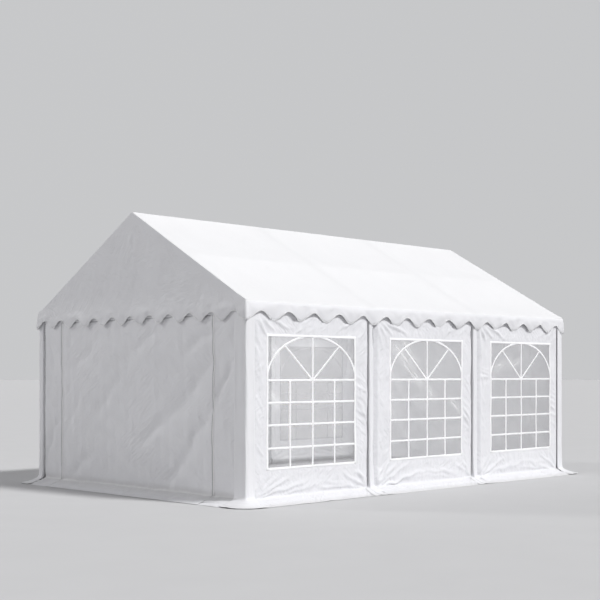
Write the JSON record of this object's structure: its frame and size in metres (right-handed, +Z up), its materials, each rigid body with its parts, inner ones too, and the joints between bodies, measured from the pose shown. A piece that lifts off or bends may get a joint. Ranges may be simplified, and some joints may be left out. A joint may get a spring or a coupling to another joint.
{
  "type": "marquee tent",
  "caption": "White gabled marquee tent with a wavy valance, arched clear windows along its sides, zipped gable doors and a steel tube frame.",
  "frame": {"origin": "on the ground, in the middle of the tent's footprint", "axes": "+Y along the ridge, from the front gable to the back one; +X to the right seen from the front; +Z up"},
  "size_m": [4.4368, 6.4368, 3.3048],
  "materials": {
    "galvanised_steel": "satin zinc",
    "roof_cloth": "coated, half gloss",
    "wall_cloth": "coated, half gloss",
    "clear_film": "clear"
  },
  "bodies": {
    "root": {"eave_tube_left_1": "galvanised_steel", "eave_tube_left_2": "galvanised_steel", "eave_tube_left_3": "galvanised_steel", "eave_tube_right_1": "galvanised_steel", "eave_tube_right_2": "galvanised_steel", "eave_tube_right_3": "galvanised_steel", "gable_door_back": "wall_cloth", "gable_door_front": "wall_cloth", "gable_wall_back": "wall_cloth", "gable_wall_front": "wall_cloth", "leg_left_2": "galvanised_steel", "leg_left_3": "galvanised_steel", "leg_left_back": "galvanised_steel", "leg_left_front": "galvanised_steel", "leg_right_2": "galvanised_steel", "leg_right_3": "galvanised_steel", "leg_right_back": "galvanised_steel", "leg_right_front": "galvanised_steel", "purlin_left_1": "galvanised_steel", "purlin_left_2": "galvanised_steel", "purlin_left_3": "galvanised_steel", "purlin_right_1": "galvanised_steel", "purlin_right_2": "galvanised_steel", "purlin_right_3": "galvanised_steel", "ridge_tube_1": "galvanised_steel", "ridge_tube_2": "galvanised_steel", "ridge_tube_3": "galvanised_steel", "roof_gable_back": "roof_cloth", "roof_gable_front": "roof_cloth", "roof_slope_left": "roof_cloth", "roof_slope_right": "roof_cloth", "roof_truss_2": "galvanised_steel", "roof_truss_3": "galvanised_steel", "roof_truss_back": "galvanised_steel", "roof_truss_front": "galvanised_steel", "side_valance_left": "roof_cloth", "side_valance_right": "roof_cloth", "side_wall_left_1": "wall_cloth", "side_wall_left_2": "wall_cloth", "side_wall_left_3": "wall_cloth", "side_wall_right_1": "wall_cloth", "side_wall_right_2": "wall_cloth", "side_wall_right_3": "wall_cloth", "tie_bar_back": "galvanised_steel", "tie_bar_front": "galvanised_steel", "window_film_left_1": "clear_film", "window_film_left_2": "clear_film", "window_film_left_3": "clear_film", "window_film_right_1": "clear_film", "window_film_right_2": "clear_film", "window_film_right_3": "clear_film"}
  },
  "joints": []
}
